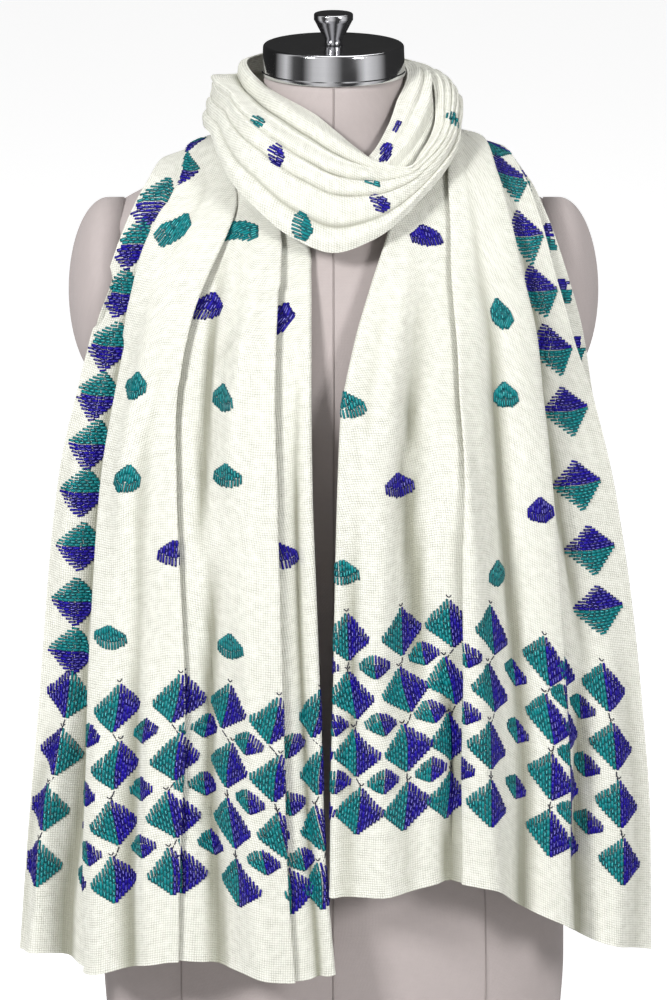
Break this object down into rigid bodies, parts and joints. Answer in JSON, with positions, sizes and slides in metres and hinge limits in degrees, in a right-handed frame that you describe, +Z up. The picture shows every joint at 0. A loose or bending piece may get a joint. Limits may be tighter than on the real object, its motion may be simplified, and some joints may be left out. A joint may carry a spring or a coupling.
{
  "type": "phulkari shawl on a limbless dress form",
  "caption": "Embroidered shawl wound once round the neck of a limbless dress form, with both ends hanging in front.",
  "frame": {"origin": "centre of the base board's underside, below the neck's axis", "axes": "+Z up along the neck, -Y towards the front where both ends hang, +X to the viewer's right"},
  "size_m": [0.4891, 0.2819, 0.824],
  "materials": {
    "shawl_cloth": "coarse plain weave, matt, off-white, with floss embroidery in teal and royal blue",
    "form_linen": "stretched linen, matt, greyish pink",
    "cap_metal": "polished",
    "base_board": "plain board, satin"
  },
  "bodies": {
    "root": {"fall_left": "shawl_cloth", "fall_right": "shawl_cloth", "loop_front": "shawl_cloth", "loop_inner": "shawl_cloth", "loop_nape": "shawl_cloth", "torso": "form_linen", "shoulder_pad_left": "form_linen", "shoulder_pad_right": "form_linen", "neck_cap": "cap_metal", "knob": "cap_metal", "base_board": "base_board"}
  },
  "joints": []
}
